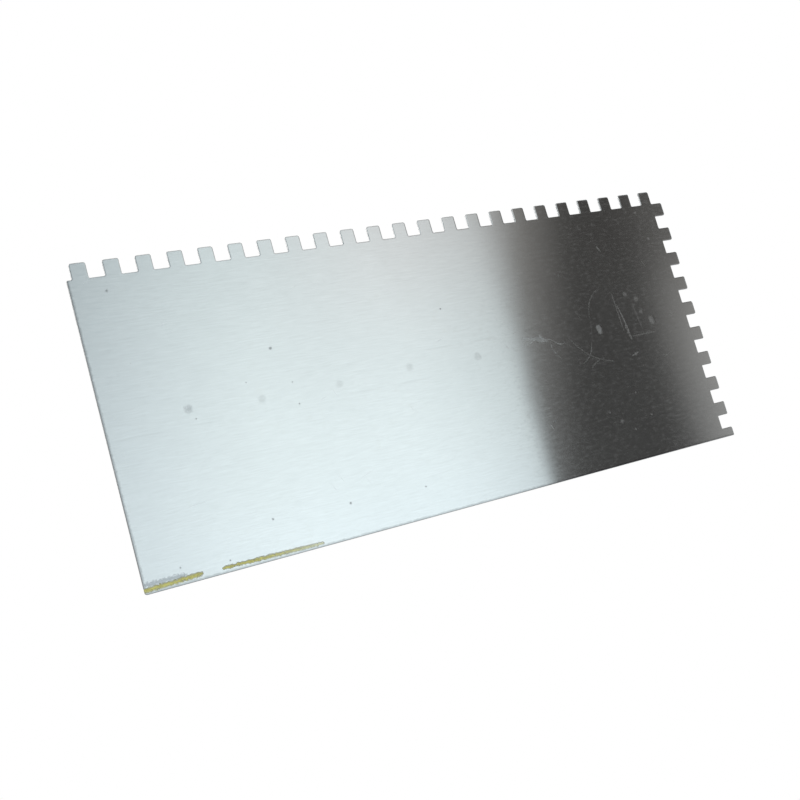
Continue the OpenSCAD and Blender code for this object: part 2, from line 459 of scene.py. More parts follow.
def make_group(
    name: str, inputs: dict[str, object], build: Callable[[Graph, dict[str, Socket]], Socket]
) -> bpy.types.NodeTree:
    """Builds a shader node group with one output, "Mask", or gives the one that is there already.

    Args:
        name: Name of the group.
        inputs: The starting value of each input: a number, or three for a vector.
        build: Adds the nodes and gives the socket for the output.

    Returns:
        The group's node tree.
    """
    if name in bpy.data.node_groups:
        return bpy.data.node_groups[name]
    tree = bpy.data.node_groups.new(name, "ShaderNodeTree")
    for key, start in inputs.items():
        kind = "Vector" if isinstance(start, tuple) else "Float"
        made = tree.interface.new_socket(key, in_out="INPUT", socket_type="NodeSocket" + kind)
        made.default_value = start
    tree.interface.new_socket("Mask", in_out="OUTPUT", socket_type="NodeSocketFloat")
    entry = tree.nodes.new("NodeGroupInput")
    leave = tree.nodes.new("NodeGroupOutput")
    given = {socket.name: socket for socket in entry.outputs if socket.name in inputs}
    tree.links.new(build(Graph(tree), given), leave.inputs["Mask"])
    return tree


def streaks_group() -> bpy.types.NodeTree:
    """Grain drawn out along an axis: noise on coordinates divided by a period on each axis."""

    def build(g: Graph, given: dict[str, Socket]) -> Socket:
        """Adds the noise."""
        return g.noise(g.vector("DIVIDE", given["Vector"], given["Period"]), 1.0, 3.0, 0.7)

    return make_group("streaks", {"Vector": (0, 0, 0), "Period": (1, 1, 1)}, build)


def scratch_group() -> bpy.types.NodeTree:
    """One scratch from a place to another, bowed sideways, ragged, and tapered to its ends.

    The nearest place on the chord is at t = clamp((p - a).(b - a) / |b - a|^2). The scratch runs
    at 4 t (1 - t) times the bow beside it, and the mask falls from 1 to 0 across its width.
    """

    def build(g: Graph, given: dict[str, Socket]) -> Socket:
        """Adds the distance to the bowed line, and fades the mask outside its solid core."""
        chord = g.vector("SUBTRACT", given["To"], given["From"])
        arm = g.vector("SUBTRACT", given["Place"], given["From"])
        square = g.vector("DOT_PRODUCT", chord, chord)
        t = g.math("DIVIDE", g.vector("DOT_PRODUCT", arm, chord), square, clamp=True)
        rise = g.times(t, g.less(1.0, t), 4.0)
        side = g.vector("NORMALIZE", g.vector("CROSS_PRODUCT", (0, 0, 1), chord))
        along = g.scaled(chord, t)
        line = g.vector("ADD", along, g.scaled(side, g.times(rise, given["Bow"])))
        off = g.vector("LENGTH", g.vector("SUBTRACT", arm, line))
        uneven = g.times(given["Width"], given["Ragged"])
        off = g.plus(off, g.times(given["Grit"], uneven))
        pointed = g.math("POWER", g.plus(rise, 0.04), 0.3)
        half = g.times(given["Width"], g.number(given["Taper"], 1.0, pointed))
        return g.smooth(off, half, g.times(half, SOLID_CORE))

    inputs = {
        "Place": (0, 0, 0), "Grit": 0.0, "From": (0, 0, 0), "To": (1, 0, 0), "Bow": 0.0,
        "Width": 0.5, "Ragged": 0.5, "Taper": 1.0,
    }
    return make_group("scratch", inputs, build)


def spot_group() -> bpy.types.NodeTree:
    """A round mark with a ragged outline, as a mask of the distance from its centre."""

    def build(g: Graph, given: dict[str, Socket]) -> Socket:
        """Adds the distance in the plane, disturbed by the grit, and a soft edge."""
        off = g.vector("DISTANCE", given["Place"], given["Centre"])
        uneven = g.times(given["Radius"], given["Ragged"])
        off = g.plus(off, g.times(given["Grit"], uneven))
        return g.smooth(off, given["Radius"], g.times(given["Radius"], SOLID_CORE))

    inputs = {"Place": (0, 0, 0), "Grit": 0.0, "Centre": (0, 0, 0), "Radius": 2.0, "Ragged": 1.0}
    return make_group("spot", inputs, build)


def specks_group() -> bpy.types.NodeTree:
    """Small specks, one in some of the cells of a Voronoi pattern of a spacing."""

    def build(g: Graph, given: dict[str, Socket]) -> Socket:
        """Adds a round speck at the middle of each cell whose random value is low enough."""
        cell = g.add("TexVoronoi")
        g.feed(cell.inputs["Vector"], given["Vector"])
        g.feed(cell.inputs["Scale"], g.math("DIVIDE", 1.0, given["Spacing"]))
        kept = g.math("GREATER_THAN", given["Share"], g.parts(cell.outputs["Color"])[0])
        size = g.math("DIVIDE", given["Radius"], given["Spacing"])
        return g.times(g.smooth(cell.outputs["Distance"], size, g.times(size, 0.3)), kept)

    return make_group("specks", {"Vector": (0, 0, 0), "Spacing": 10.0, "Radius": 0.5, "Share": 0.5}, build)


def scuffs_group() -> bpy.types.NodeTree:
    """Fine random scratches in two directions: thin bands of drawn-out noise, broken by clouds."""

    def band(g: Graph, vector: Socket, angle: float, length: float) -> Socket:
        """Adds one field of lines, turned by an angle and drawn out to a length."""
        turn = g.add("VectorRotate", rotation_type="Z_AXIS")
        g.feed(turn.inputs["Vector"], vector)
        turn.inputs["Angle"].default_value = angle
        drawn = g.vector("DIVIDE", turn.outputs[0], (length, 0.55, 0.55))
        return g.smooth(g.noise(drawn, 1.0, 1.0, 0.5), 0.70, 0.76)

    def build(g: Graph, given: dict[str, Socket]) -> Socket:
        """Adds both fields of lines and the clouds that break them up."""
        directions = ((0.35, 16.0), (-1.1, 11.0))
        total = g.most(band(g, given["Vector"], angle, length) for angle, length in directions)
        cloud = g.smooth(g.noise(given["Vector"], 0.045, 2.0, 0.5), 0.5, 0.68)
        return g.times(total, cloud, given["Amount"])

    return make_group("scuffs", {"Vector": (0, 0, 0), "Amount": 1.0}, build)


def spots(
    g: Graph, place: Socket, grit: Socket, places: tuple[Triple, ...], ragged: float
) -> Socket:
    """Puts a round mark at each of some places.

    Args:
        g: The graph of the material.
        place: Level place on the surface, in millimetres.
        grit: Noise from -1 to 1 that moves the marks' outlines.
        places: X, Y and radius of each mark, in millimetres.
        ragged: How far the grit moves an outline, as a share of its radius.

    Returns:
        One mask of all the marks.
    """
    same = {"Place": place, "Grit": grit, "Ragged": ragged}
    return g.most(
        g.group(spot_group(), Centre=(x, y, 0.0), Radius=radius, **same) for x, y, radius in places
    )


class Finish:
    """A surface finish: a material whose Principled shader is fed by the subclass."""

    def start(self, name: str) -> tuple[bpy.types.Material, Graph, bpy.types.Node]:
        """Makes a material with only a Principled shader.

        Args:
            name: Name of the material.

        Returns:
            The material, a graph on its nodes and its Principled shader.
        """
        made, g = empty_material(name)
        shader = g.add("BsdfPrincipled")
        g.feed(g.add("OutputMaterial").inputs["Surface"], shader.outputs["BSDF"])
        return made, g, shader

    def wear(self, g: Graph) -> Socket:
        """The mesh's own wear, from 0 to 1."""
        return g.add("Attribute", attribute_name="wear").outputs["Fac"]


@dataclass(frozen=True)
class Mark:
    """A scratch or smear on the blade's face, from one place to another."""

    start: tuple[float, float]
    end: tuple[float, float]
    width: float
    bow: float = 0.0
    ragged: float = 0.5
    strength: float = 1.0
    taper: float = 1.0

    def mask(self, g: Graph, place: Socket, grit: Socket) -> Socket:
        """The mark's mask at a level place, with its outline moved by the grit."""
        made = g.group(
            scratch_group(),
            Place=place,
            Grit=grit,
            From=(*self.start, 0.0),
            To=(*self.end, 0.0),
            Bow=self.bow,
            Width=self.width,
            Ragged=self.ragged,
            Taper=self.taper,
        )
        return g.times(made, self.strength)


@dataclass(frozen=True)
class BladeSteel(Finish):
    """Stainless sheet brushed lengthwise, used, with dried adhesive on its plain edge."""

    half_length: float
    half_width: float
    thickness: float
    welds: Places
    tint: Triple = (0.66, 0.675, 0.685)
    weld_radius: float = 2.3
    dirt: Triple = (0.54, 0.53, 0.135)
    fresh_dirt: float = 1.7
    rail_edge: float = 5.6
    film_reach: float = 17.0

    def weld_marks(self, g: Graph, place: Socket, grit: Socket) -> Socket:
        """The dull round marks that the spot welds leave, as one mask."""
        return spots(g, place, grit, tuple((x, y, self.weld_radius) for x, y in self.welds), 0.5)

    def scratches(self, g: Graph, place: Socket, grit: Socket) -> Socket:
        """The long scratches near the notched end, as one mask."""
        marks = (
            Mark((41, -2.4), (51.8, -0.7), 0.95, ragged=0.7, strength=0.8, taper=0.5),
            Mark((46, -1.6), (52.2, 0.1), 0.9, ragged=0.8, taper=0.2),
            Mark((39.8, 0.4), (45, -0.2), 0.4, ragged=1.0, strength=0.8),
            Mark((52, -0.5), (57, 1.6), 0.3, bow=-0.5, strength=0.7),
            Mark((56.5, 1.2), (61.5, 2.6), 0.35, bow=0.8),
            Mark((86.3, -17.5), (78.6, -6), 0.4, bow=1.8, strength=0.55),
            Mark((78.6, -6), (76, 4.5), 0.3, bow=-0.4, strength=0.3),
            Mark((94.3, -15), (95, 2.5), 0.4, ragged=0.7, strength=0.75),
            Mark((95.2, -9.5), (97.9, 7), 0.5, bow=-0.4, ragged=1.1),
            Mark((96.6, 0), (97.6, 6.5), 0.7, ragged=1.6, strength=0.8),
            Mark((99, 5.6), (113, 5.4), 0.6, ragged=1.2, strength=0.55),
            Mark((64.5, 1), (84, 14.5), 0.35, bow=2.6, strength=0.6),
            Mark((59, -4), (66, 6), 0.3, bow=1.5, strength=0.3),
            Mark((75.6, 4.5), (68, 13), 0.35, bow=-1.6, strength=0.7),
            Mark((72, 15.5), (80, 12.5), 0.35, bow=-0.8, strength=0.55),
            Mark((104, -9), (105.5, 3), 0.6, ragged=1.8, strength=0.35),
            Mark((54.5, 1), (58, 9), 0.35, bow=1.2, ragged=0.8, strength=0.45),
            Mark((81.6, -1.2), (82.0, 0.8), 1.9, ragged=0.15, strength=1.5, taper=0.2),
            Mark((111.9, -0.8), (112.2, 1), 1.8, ragged=0.3, taper=0.2),
            Mark((94.1, -37), (95.4, -34.4), 0.45),
            Mark((95.5, 14), (99.5, 13), 0.4, ragged=0.9, strength=0.9),
            Mark((-117, 33.5), (-110, 33), 0.3, strength=0.6),
        )
        return g.most(mark.mask(g, place, grit) for mark in marks)

    def smudges(self, g: Graph, place: Socket, grit: Socket) -> Socket:
        """Small soft smudges on the face, as one mask."""
        places = (
            (101.5, -13.5, 1.7), (107, -10.5, 1.8), (107.5, -4.5, 1.4), (91, 30, 0.6),
            (69, -27, 0.6), (125, -37, 0.9), (79, 41, 1.3), (85, 45.5, 0.8), (96, 41, 0.8),
            (97.5, 13.5, 1.0), (74, 36, 0.7), (122, -50, 0.8),
        )
        return spots(g, place, grit, places, 0.45)

    def dots(self, g: Graph, place: Socket, grit: Socket) -> Socket:
        """Dark stuck dots on the face, as one mask."""
        places = (
            (-71, -17, 0.9), (-87.5, 44.7, 0.6), (-126, -47.5, 0.8), (-56, 46, 0.7),
            (-84, -6, 0.35), (-23, 47, 0.5), (6, -21, 0.5), (-106, 3.5, 0.5), (-107, 55, 0.5),
            (-65.5, 5.5, 0.5), (-66, -3, 0.4), (-125, 53, 0.5), (88, -31, 0.5), (45, 34, 0.6),
        )
        return spots(g, place, grit, places, 0.6)

    def residue(self, g: Graph, place: Socket, grit: Socket) -> tuple[Socket, Socket]:
        """Dried adhesive along the plain long edge.

        Args:
            g: The graph of the material.
            place: Level place on the sheet, in millimetres.
            grit: Noise from -1 to 1 that moves the outlines.

        Returns:
            The masks of two olive streaks, the long one fading out, and of a grey haze beside them.
        """
        edge = self.half_width
        end = -self.half_length
        short = Mark((end + 0.5, edge - 1.5), (end + 20.5, edge - 2.1), 1.1, ragged=0.8, taper=0.15)
        long = Mark((end + 29, edge - 2.0), (end + 68, edge - 1.4), 0.85, ragged=0.9, taper=0.5)
        haze = Mark((end + 1, edge - 3.3), (end + 15, edge - 3.2), 1.2, ragged=1.3, taper=0.4)
        fading = g.smooth(g.parts(place)[0], end + 74, end + 38, 0.35, 1.0)
        olive = g.most([short.mask(g, place, grit), g.times(long.mask(g, place, grit), fading)])
        drawn = g.vector("MULTIPLY", place, (0.3, 2.0, 1.0))
        patchy = g.smooth(g.noise(drawn, 1.0, 3.0, 0.7), 0.3, 0.46)
        olive = g.times(olive, g.number(patchy, 0.25, 1.0))
        return olive, haze.mask(g, place, grit)

    def face_masks(self, g: Graph, place: Socket, on_face: Socket, x: Socket) -> dict[str, Socket]:
        """Works out the marks that are only on the working face.

        Args:
            g: The graph of the material.
            place: Place on the sheet, in millimetres.
            on_face: 1 on the working face.
            x: The place's first part.

        Returns:
            The masks by name.
        """
        level = g.vector("MULTIPLY", place, (1, 1, 0))
        grit = g.times(g.less(g.noise(level, 1.0, 3.0, 0.7), 0.5), 2.0)
        marks = g.times(self.weld_marks(g, level, grit), on_face)
        rubbed = g.smooth(g.noise(place, 0.9, 2.0, 0.6), 0.2, 0.62, 0.35, 1.0)
        deep = g.smooth(x, -75.0, -105.0, 0.42, 1.0)
        marks = g.times(marks, g.times(rubbed, deep))
        lines = g.times(self.scratches(g, level, grit), g.times(on_face, rubbed))
        smudges = g.times(self.smudges(g, level, grit), on_face)
        dots = g.times(self.dots(g, level, grit), on_face)
        olive, grey = self.residue(g, level, grit)
        return {
            "marks": marks, "lines": lines, "smudges": smudges, "dots": dots, "olive": olive,
            "grey": grey,
        }

    def masks(self, g: Graph, place: Socket) -> dict[str, Socket]:
        """Works out where each kind of grain, mark and dirt lies.

        Args:
            g: The graph of the material.
            place: Place on the sheet, in millimetres.

        Returns:
            The masks and noises by name, each from 0 to 1.
        """
        x, y, z = g.parts(place)
        on_face = g.math("LESS_THAN", z, self.thickness * 0.4)
        m = {
            "worn": self.wear(g),
            "brush": g.group(streaks_group(), Vector=place, Period=(8.0, 0.45, 0.5)),
            "band": g.group(streaks_group(), Vector=place, Period=(13.0, 1.3, 1.5)),
            "cloud": g.noise(place, 0.03, 3.0, 0.55),
            "mottle": g.noise(place, 0.22, 3.0, 0.6),
            "tumble": g.noise(g.vector("MULTIPLY", place, (0.35, 0.8, 0.8)), 1.0, 3.0, 0.65),
        }
        m.update(self.face_masks(g, place, on_face, x))
        m["scuffs"] = g.group(scuffs_group(), Vector=place, Amount=0.9)
        m["specks"] = g.group(specks_group(), Vector=place, Spacing=7.0, Radius=0.3, Share=0.3)

        # The rail's edges print through the sheet in places.
        beside = g.less(g.math("ABSOLUTE", y), self.rail_edge)
        printed = g.smooth(g.math("ABSOLUTE", beside), 0.8, 0.1)
        broken = g.smooth(g.noise(place, 0.06, 2.0, 0.5), 0.5, 0.62)
        m["printed"] = g.times(printed, broken, 0.5)
        m["haze"] = g.times(g.smooth(m["mottle"], 0.52, 0.8), g.smooth(m["cloud"], 0.45, 0.7))

        # Grime along the plain edges.
        inward = g.math("MINIMUM", g.less(self.half_width, y), g.plus(x, self.half_length))
        stir = g.times(g.noise(place, 0.8, 4.0, 0.7), 1.5)
        m["rim"] = g.smooth(g.less(inward, stir), 0.35, -0.35)

        # Dried film on the back, thickest beside the notched edges.
        wide, narrow = self.film_reach, self.film_reach - 13.0
        near_teeth = g.most([
            g.smooth(y, wide - self.half_width, narrow - self.half_width),
            g.smooth(x, self.half_length - wide, self.half_length - narrow),
        ])
        film = g.times(near_teeth, g.smooth(g.noise(place, 0.17, 5.0, 0.7), 0.46, 0.8))
        m["back"] = g.less(1.0, on_face)
        m["film"] = g.times(film, m["back"])
        return m

    def material(self) -> bpy.types.Material:
        """Builds the material."""
        made, g, shader = self.start("brushed_sheet_steel")
        place = g.millimetres()
        m = self.masks(g, place)

        tone = g.shaded(
            g.number(m["brush"], 0.895, 1.085),
            (m["band"], 0.955, 1.035), (m["cloud"], 0.95, 1.04), (m["tumble"], 0.925, 1.075),
            (m["marks"], 1.0, 0.74), (m["dots"], 1.0, 0.55), (m["printed"], 1.0, 0.93),
            (m["worn"], 1.0, 0.62), (m["rim"], 1.0, 0.70),
        )
        colour = g.coated(
            g.tinted(self.tint, tone),
            (m["haze"], 0.16, (0.55, 0.54, 0.49)),
            (m["grey"], 0.55, (0.30, 0.33, 0.36)),
            (m["specks"], 0.35, (0.3, 0.3, 0.29)),
            (m["film"], 0.5, (0.50, 0.485, 0.45)),
        )
        thick = g.smooth(g.noise(place, 1.3, 3.0, 0.6), 0.25, 0.75)
        paste = g.colour(thick, self.dirt, tuple(self.fresh_dirt * part for part in self.dirt))
        g.feed(shader.inputs["Base Color"], g.coated(colour, (m["olive"], 0.92, paste)))

        covered = g.times(m["olive"], 0.95)
        for mask, share in ((m["film"], 0.5), (m["grey"], 0.3)):
            covered = g.most([covered, g.times(mask, share)])
        covered = g.most([covered, g.times(g.most([m["lines"], m["smudges"]]), 0.05)])
        covered = g.plus(covered, g.smooth(m["tumble"], 0.48, 0.72, 0.0, 0.055))
        g.feed(shader.inputs["Metallic"], g.less(1.0, covered))

        rough = g.number(m["brush"], 0.115, 0.185)
        for noise, amount in ((m["cloud"], 0.05), (m["tumble"], 0.07)):
            rough = g.plus(rough, g.times(g.less(noise, 0.5), amount))
        rough = g.raised(
            rough, (m["marks"], 0.16), (m["lines"], 0.24), (m["smudges"], 0.12), (m["dots"], 0.2),
            (m["scuffs"], 0.17), (covered, 0.35), (m["haze"], 0.05), (m["worn"], 0.08),
            (m["specks"], 0.13), (m["back"], 0.07),
        )
        g.feed(shader.inputs["Roughness"], g.math("MINIMUM", rough, 0.9))
        shader.inputs["Anisotropic"].default_value = 0.95
        # Highlights are drawn out across the brushing, which runs along X.
        g.feed(shader.inputs["Tangent"], g.combine(0.0, 1.0, 0.0))

        relief = g.plus(g.times(m["brush"], 0.35), g.times(m["band"], 0.4))
        normal = g.bump(relief, 0.004)
        normal = g.bump(g.noise(place, 0.018, 2.0, 0.5), 0.05, normal)
        normal = g.bump(g.plus(m["marks"], g.times(m["printed"], 0.6)), -0.03, normal)
        build_up = g.times(g.most([m["olive"], g.times(m["film"], 0.4)]), g.number(thick, 0.5, 1.0))
        g.feed(shader.inputs["Normal"], g.bump(build_up, 0.35, normal))
        return made


@dataclass(frozen=True)
class PlatedSteel(Finish):
    """Zinc-plated steel: faint mottling, light rub marks, and duller worn edges."""

    name: str
    tint: Triple
    rough: float
    grain: Triple
    mottling: float = 0.1
    warm: Triple = (0.62, 0.60, 0.53)
    heat_spots: Places = ()
    heat_radius: float = 2.0

    def heat(self, g: Graph, place: Socket, grit: Socket, reach: float) -> Socket:
        """Rings of a reach round the spot welds, as one mask."""
        level = g.vector("MULTIPLY", place, (1, 1, 0))
        return spots(g, level, grit, tuple((x, y, reach) for x, y in self.heat_spots), 0.3)

    def material(self) -> bpy.types.Material:
        """Builds the material."""
        made, g, shader = self.start(self.name)
        place = g.millimetres()
        worn = self.wear(g)
        lines = g.group(streaks_group(), Vector=place, Period=self.grain)
        mottle = g.noise(place, 0.35, 4.0, 0.6)
        cloud = g.noise(place, 0.06, 2.0, 0.5)
        scuffs = g.group(scuffs_group(), Vector=place, Amount=0.8)
        specks = g.group(specks_group(), Vector=place, Spacing=4.0, Radius=0.3, Share=0.3)
        rubbed = g.times(worn, g.smooth(g.noise(place, 0.9, 3.0, 0.6), 0.35, 0.6))

        tone = g.shaded(
            g.number(mottle, 1.0 - self.mottling, 1.0 + self.mottling),
            (lines, 0.94, 1.05), (specks, 1.0, 0.6), (rubbed, 1.0, 1.22),
        )
        colour = g.tinted(self.tint, tone)
        colour = g.colour(g.smooth(cloud, 0.45, 0.75, 0.0, 0.5), colour, self.warm)
        rough = g.number(mottle, self.rough - 0.05, self.rough + 0.09)
        rough = g.raised(rough, (scuffs, 0.14), (specks, 0.25), (rubbed, -0.08))
        height = g.plus(g.times(lines, 0.5), g.times(mottle, 0.6))
        if self.heat_spots:
            grit = g.times(g.less(mottle, 0.5), 2.0)
            ring = self.heat(g, place, grit, self.heat_radius * 2.3)
            core = self.heat(g, place, grit, self.heat_radius * 1.1)
            colour = g.coated(colour, (ring, 0.7, (0.27, 0.21, 0.17)), (core, 0.8, (0.38, 0.37, 0.38)))
            rough = g.raised(rough, (ring, 0.12))
        g.feed(shader.inputs["Base Color"], colour)
        g.feed(shader.inputs["Roughness"], rough)
        shader.inputs["Metallic"].default_value = 1.0
        g.feed(shader.inputs["Normal"], g.bump(height, 0.02))
        return made


@dataclass(frozen=True)
class CastAluminium(Finish):
    """Cast aluminium, tumbled: fine pitted grain, and brighter where it is rubbed."""

    tint: Triple = (0.56, 0.565, 0.57)

    def material(self) -> bpy.types.Material:
        """Builds the material."""
        made, g, shader = self.start("tumbled_cast_aluminium")
        place = g.millimetres()
        worn = self.wear(g)
        grain = g.noise(place, 2.6, 4.0, 0.65)
        lumps = g.noise(place, 0.35, 3.0, 0.55)
        cloud = g.noise(place, 0.08, 3.0, 0.6)
        pits = g.group(specks_group(), Vector=place, Spacing=1.6, Radius=0.28, Share=0.35)
        scuffs = g.group(scuffs_group(), Vector=place, Amount=0.7)
        rubbed = g.times(worn, g.smooth(lumps, 0.3, 0.6))
        grime = g.smooth(g.raised(cloud, (grain, 0.25)), 0.62, 0.86)

        tone = g.shaded(
            g.number(grain, 0.9, 1.08), (lumps, 0.92, 1.06), (pits, 1.0, 0.62), (rubbed, 1.0, 1.2)
        )
        colour = g.coated(g.tinted(self.tint, tone), (grime, 0.45, (0.36, 0.34, 0.30)))
        g.feed(shader.inputs["Base Color"], colour)
        rough = g.number(grain, 0.36, 0.50)
        rough = g.raised(rough, (g.most([rubbed, scuffs]), -0.12), (grime, 0.15))
        g.feed(shader.inputs["Roughness"], rough)
        g.feed(shader.inputs["Metallic"], g.less(1.0, g.times(grime, 0.35)))
        fine = g.less(g.times(grain, 0.6), g.times(pits, 0.8))
        g.feed(shader.inputs["Normal"], g.bump(lumps, 0.25, g.bump(fine, 0.07)))
        return made


@dataclass(frozen=True)
class VarnishedBeech(Finish):
    """Turned beech under thin varnish: pale and pinkish, with grain along X and short flecks."""

    height: float
    half_length: float
    pale: Triple = (0.60, 0.345, 0.165)
    dark: Triple = (0.37, 0.175, 0.07)
    fleck: Triple = (0.21, 0.09, 0.035)
    ring_spacing: float = 3.4

    def rings(self, g: Graph, centred: Socket) -> Socket:
        """Yearly rings about a pith far below the grip, drawn out along the trunk."""
        _, y, z = g.parts(centred)
        drawn = g.vector("MULTIPLY", centred, (0.012, 0.09, 0.09))
        stir = g.times(g.less(g.noise(drawn, 1.0, 3.0, 0.5), 0.5), 9.0)
        pith = g.combine(0.0, g.less(y, 24.0), g.plus(z, 55.0))
        ring = g.plus(g.vector("LENGTH", pith), stir)
        return g.smooth(g.math("SINE", g.times(ring, 2 * math.pi / self.ring_spacing)), -0.9, 1.0)

    def flecks(self, g: Graph, centred: Socket) -> Socket:
        """Short dark flecks, in some of the cells of a Voronoi pattern drawn out along X."""
        cell = g.add("TexVoronoi")
        g.feed(cell.inputs["Vector"], g.vector("DIVIDE", centred, (5.0, 1.3, 0.9)))
        cell.inputs["Scale"].default_value = 1.0
        flecks = g.smooth(cell.outputs["Distance"], 0.3, 0.12)
        return g.times(flecks, g.math("GREATER_THAN", g.parts(cell.outputs["Color"])[1], 0.45))

    def material(self) -> bpy.types.Material:
        """Builds the material."""
        made, g, shader = self.start("varnished_beech")
        place = g.millimetres()
        worn = self.wear(g)
        centred = g.vector("SUBTRACT", place, (0.0, 0.0, self.height))
        along = g.math("ABSOLUTE", g.parts(centred)[0])
        rings = self.rings(g, centred)
        fibre = g.group(streaks_group(), Vector=centred, Period=(20.0, 0.5, 0.5))
        thin = g.vector("DIVIDE", centred, (4.5, 0.4, 0.4))
        pores = g.smooth(g.noise(thin, 1.0, 1.0, 0.5), 0.62, 0.72)
        flecks = self.flecks(g, centred)
        cloud = g.noise(g.vector("MULTIPLY", centred, (0.02, 0.05, 0.05)), 1.0, 2.0, 0.5)
        handled = g.smooth(g.raised(along, (g.noise(place, 0.1, 3.0, 0.6), 22.0)), 52.0, 26.0)
        ends = g.smooth(along, self.half_length - 16.0, self.half_length - 9.0)
        grime = g.smooth(g.noise(place, 0.17, 5.0, 0.65), 0.56, 0.74)
        splash = g.group(specks_group(), Vector=place, Spacing=11.0, Radius=0.9, Share=0.16)
        dents = g.group(specks_group(), Vector=centred, Spacing=17.0, Radius=1.5, Share=0.3)

        colour = g.colour(rings, self.pale, self.dark)
        colour = g.colour(0.45, colour, g.colour(g.smooth(fibre, 0.3, 0.7), self.dark, self.pale))
        colour = g.coated(colour, (pores, 0.55, self.fleck), (flecks, 0.6, self.fleck))
        colour = g.colour(g.smooth(cloud, 0.35, 0.7, 0.0, 0.3), colour, (0.50, 0.235, 0.095))
        colour = g.coated(
            colour,
            (handled, 0.22, (0.27, 0.13, 0.06)),
            (grime, 0.32, (0.16, 0.10, 0.06)),
            (ends, 0.45, (0.12, 0.075, 0.045)),
            (splash, 0.85, (0.60, 0.58, 0.53)),
        )
        g.feed(shader.inputs["Base Color"], colour)
        rough = g.number(fibre, 0.36, 0.5)
        rough = g.raised(rough, (g.most([grime, splash]), 0.22), (worn, 0.1))
        g.feed(shader.inputs["Roughness"], rough)
        coat = g.less(0.55, g.times(g.most([handled, grime]), 0.35))
        g.feed(shader.inputs["Coat Weight"], coat)
        shader.inputs["Coat Roughness"].default_value = 0.16
        normal = g.bump(g.raised(g.times(fibre, 0.4), (pores, -0.7)), 0.07)
        normal = g.bump(dents, -0.35, normal)
        g.feed(shader.inputs["Normal"], g.bump(splash, 0.3, normal))
        return made


# ---------------------------------------------------------------------------------------------
# Sub-assemblies
# ---------------------------------------------------------------------------------------------


@dataclass
class Blade:
    """The notched sheet, with punched edges that roll over towards the working face."""

    notch: float = 6.0
    tooth: float = 6.0
    tip_radius: float = 0.7
    root_radius: float = 0.5
    heel_radius: float = 0.45
    roll: float = 0.4
    welds: Places = ()

    def corners(self) -> tuple[np.ndarray, np.ndarray]:
        """Corners of the outline, anticlockwise, and their radii.

        Both rows start beside the corner that is punched out. Tooth k of a row runs from k
        pitches to k pitches and a tooth from there, until the edge ends. The teeth's tips are
        rounded a little differently, as punching and use leave them.

        Returns:
            The corners and the radii.
        """
        low, high = node_box("blade")
        (x0, y0), (x1, y1) = low[:2], high[:2]
        pitch = self.notch + self.tooth
        root_x, root_y = x1 - self.notch, y0 + self.notch

        start = np.arange(root_y, y1, pitch)
        end = start + self.tooth
        whole = end <= y1
        rise = np.stack([start, start, end, end], axis=1)[whole]
        across = np.tile([root_x, x1, x1, root_x], (len(rise), 1))
        short = np.stack([across, rise], axis=-1).reshape(-1, 2)[1:]
        last = start[~whole][0]
        far = np.array([[root_x, last], [x1, last], [x1, y1], [x0, y1], [x0, root_y]])

        right = np.arange(root_x, x0, -pitch)[::-1]
        left = right - self.tooth
        run = np.stack([left, left, right, right], axis=1)
        depth = np.tile([root_y, y0, y0, root_y], (len(run), 1))
        long = np.stack([run, depth], axis=-1).reshape(-1, 2)

        corners = np.vstack([short, far, long])
        at_root = np.isclose(corners[:, 0], root_x) | np.isclose(corners[:, 1], root_y)
        outer = np.isclose(corners[:, 1], y0) | np.isclose(corners[:, 1], y1)
        outer |= np.isclose(corners[:, 0], x1)
        seed = np.random.default_rng(7)
        tips = self.tip_radius * seed.uniform(0.75, 1.35, len(corners))
        radii = np.where(at_root & ~outer, self.root_radius, tips)
        heel = np.isclose(corners[:, 0], x0) & np.isclose(corners[:, 1], root_y)
        radii[heel] = self.heel_radius
        return corners, radii

    def shell(self) -> Shell:
        """The sheet as a stack of outlines: face, rolled edge, sheared wall and small back burr."""
        low, high = node_box("blade")
        t = high[2] - low[2]
        corners, radii = self.corners()
        # Each row: inset as a share of the roll, height in fifths of the thickness, and wear.
        rolled = (
            (1.2, 0.0, 0.0), (1.0, 0.0, 0.1), (0.55, 0.06, 0.3), (0.3, 0.2, 0.5),
            (0.12, 0.5, 0.8), (0.0, 1.0, 1.0), (0.0, 3.0, 1.0),
        )
        # Each row: inset in millimetres, height as a share of the thickness, and wear.
        burr = ((0.0, 0.94, 0.9), (0.04, 1.0, 0.8), (0.16, 1.0, 0.3), (0.3, 1.0, 0.0))
        rows = [(inset * self.roll, level * 0.2 * t, worn) for inset, level, worn in rolled]
        rows += [(inset, level * t, worn) for inset, level, worn in burr]
        outlines, wear = [], []
        for inset, z, worn in rows:
            flat = rounded(corners, radii, inset)
            outlines.append(np.column_stack([flat, np.full(len(flat), low[2] + z)]))
            wear.append(np.full(len(flat), worn))
        return loft(np.stack(outlines), np.stack(wear))

    def build(self) -> None:
        """Makes the piece and dresses it."""
        low, high = node_box("blade")
        steel = BladeSteel(
            half_length=high[0], half_width=high[1], thickness=high[2] - low[2], welds=self.welds
        )
        piece = put_mesh("notched_blade", self.shell(), sharp=50.0)
        stand_in(piece, "blade", steel.material())


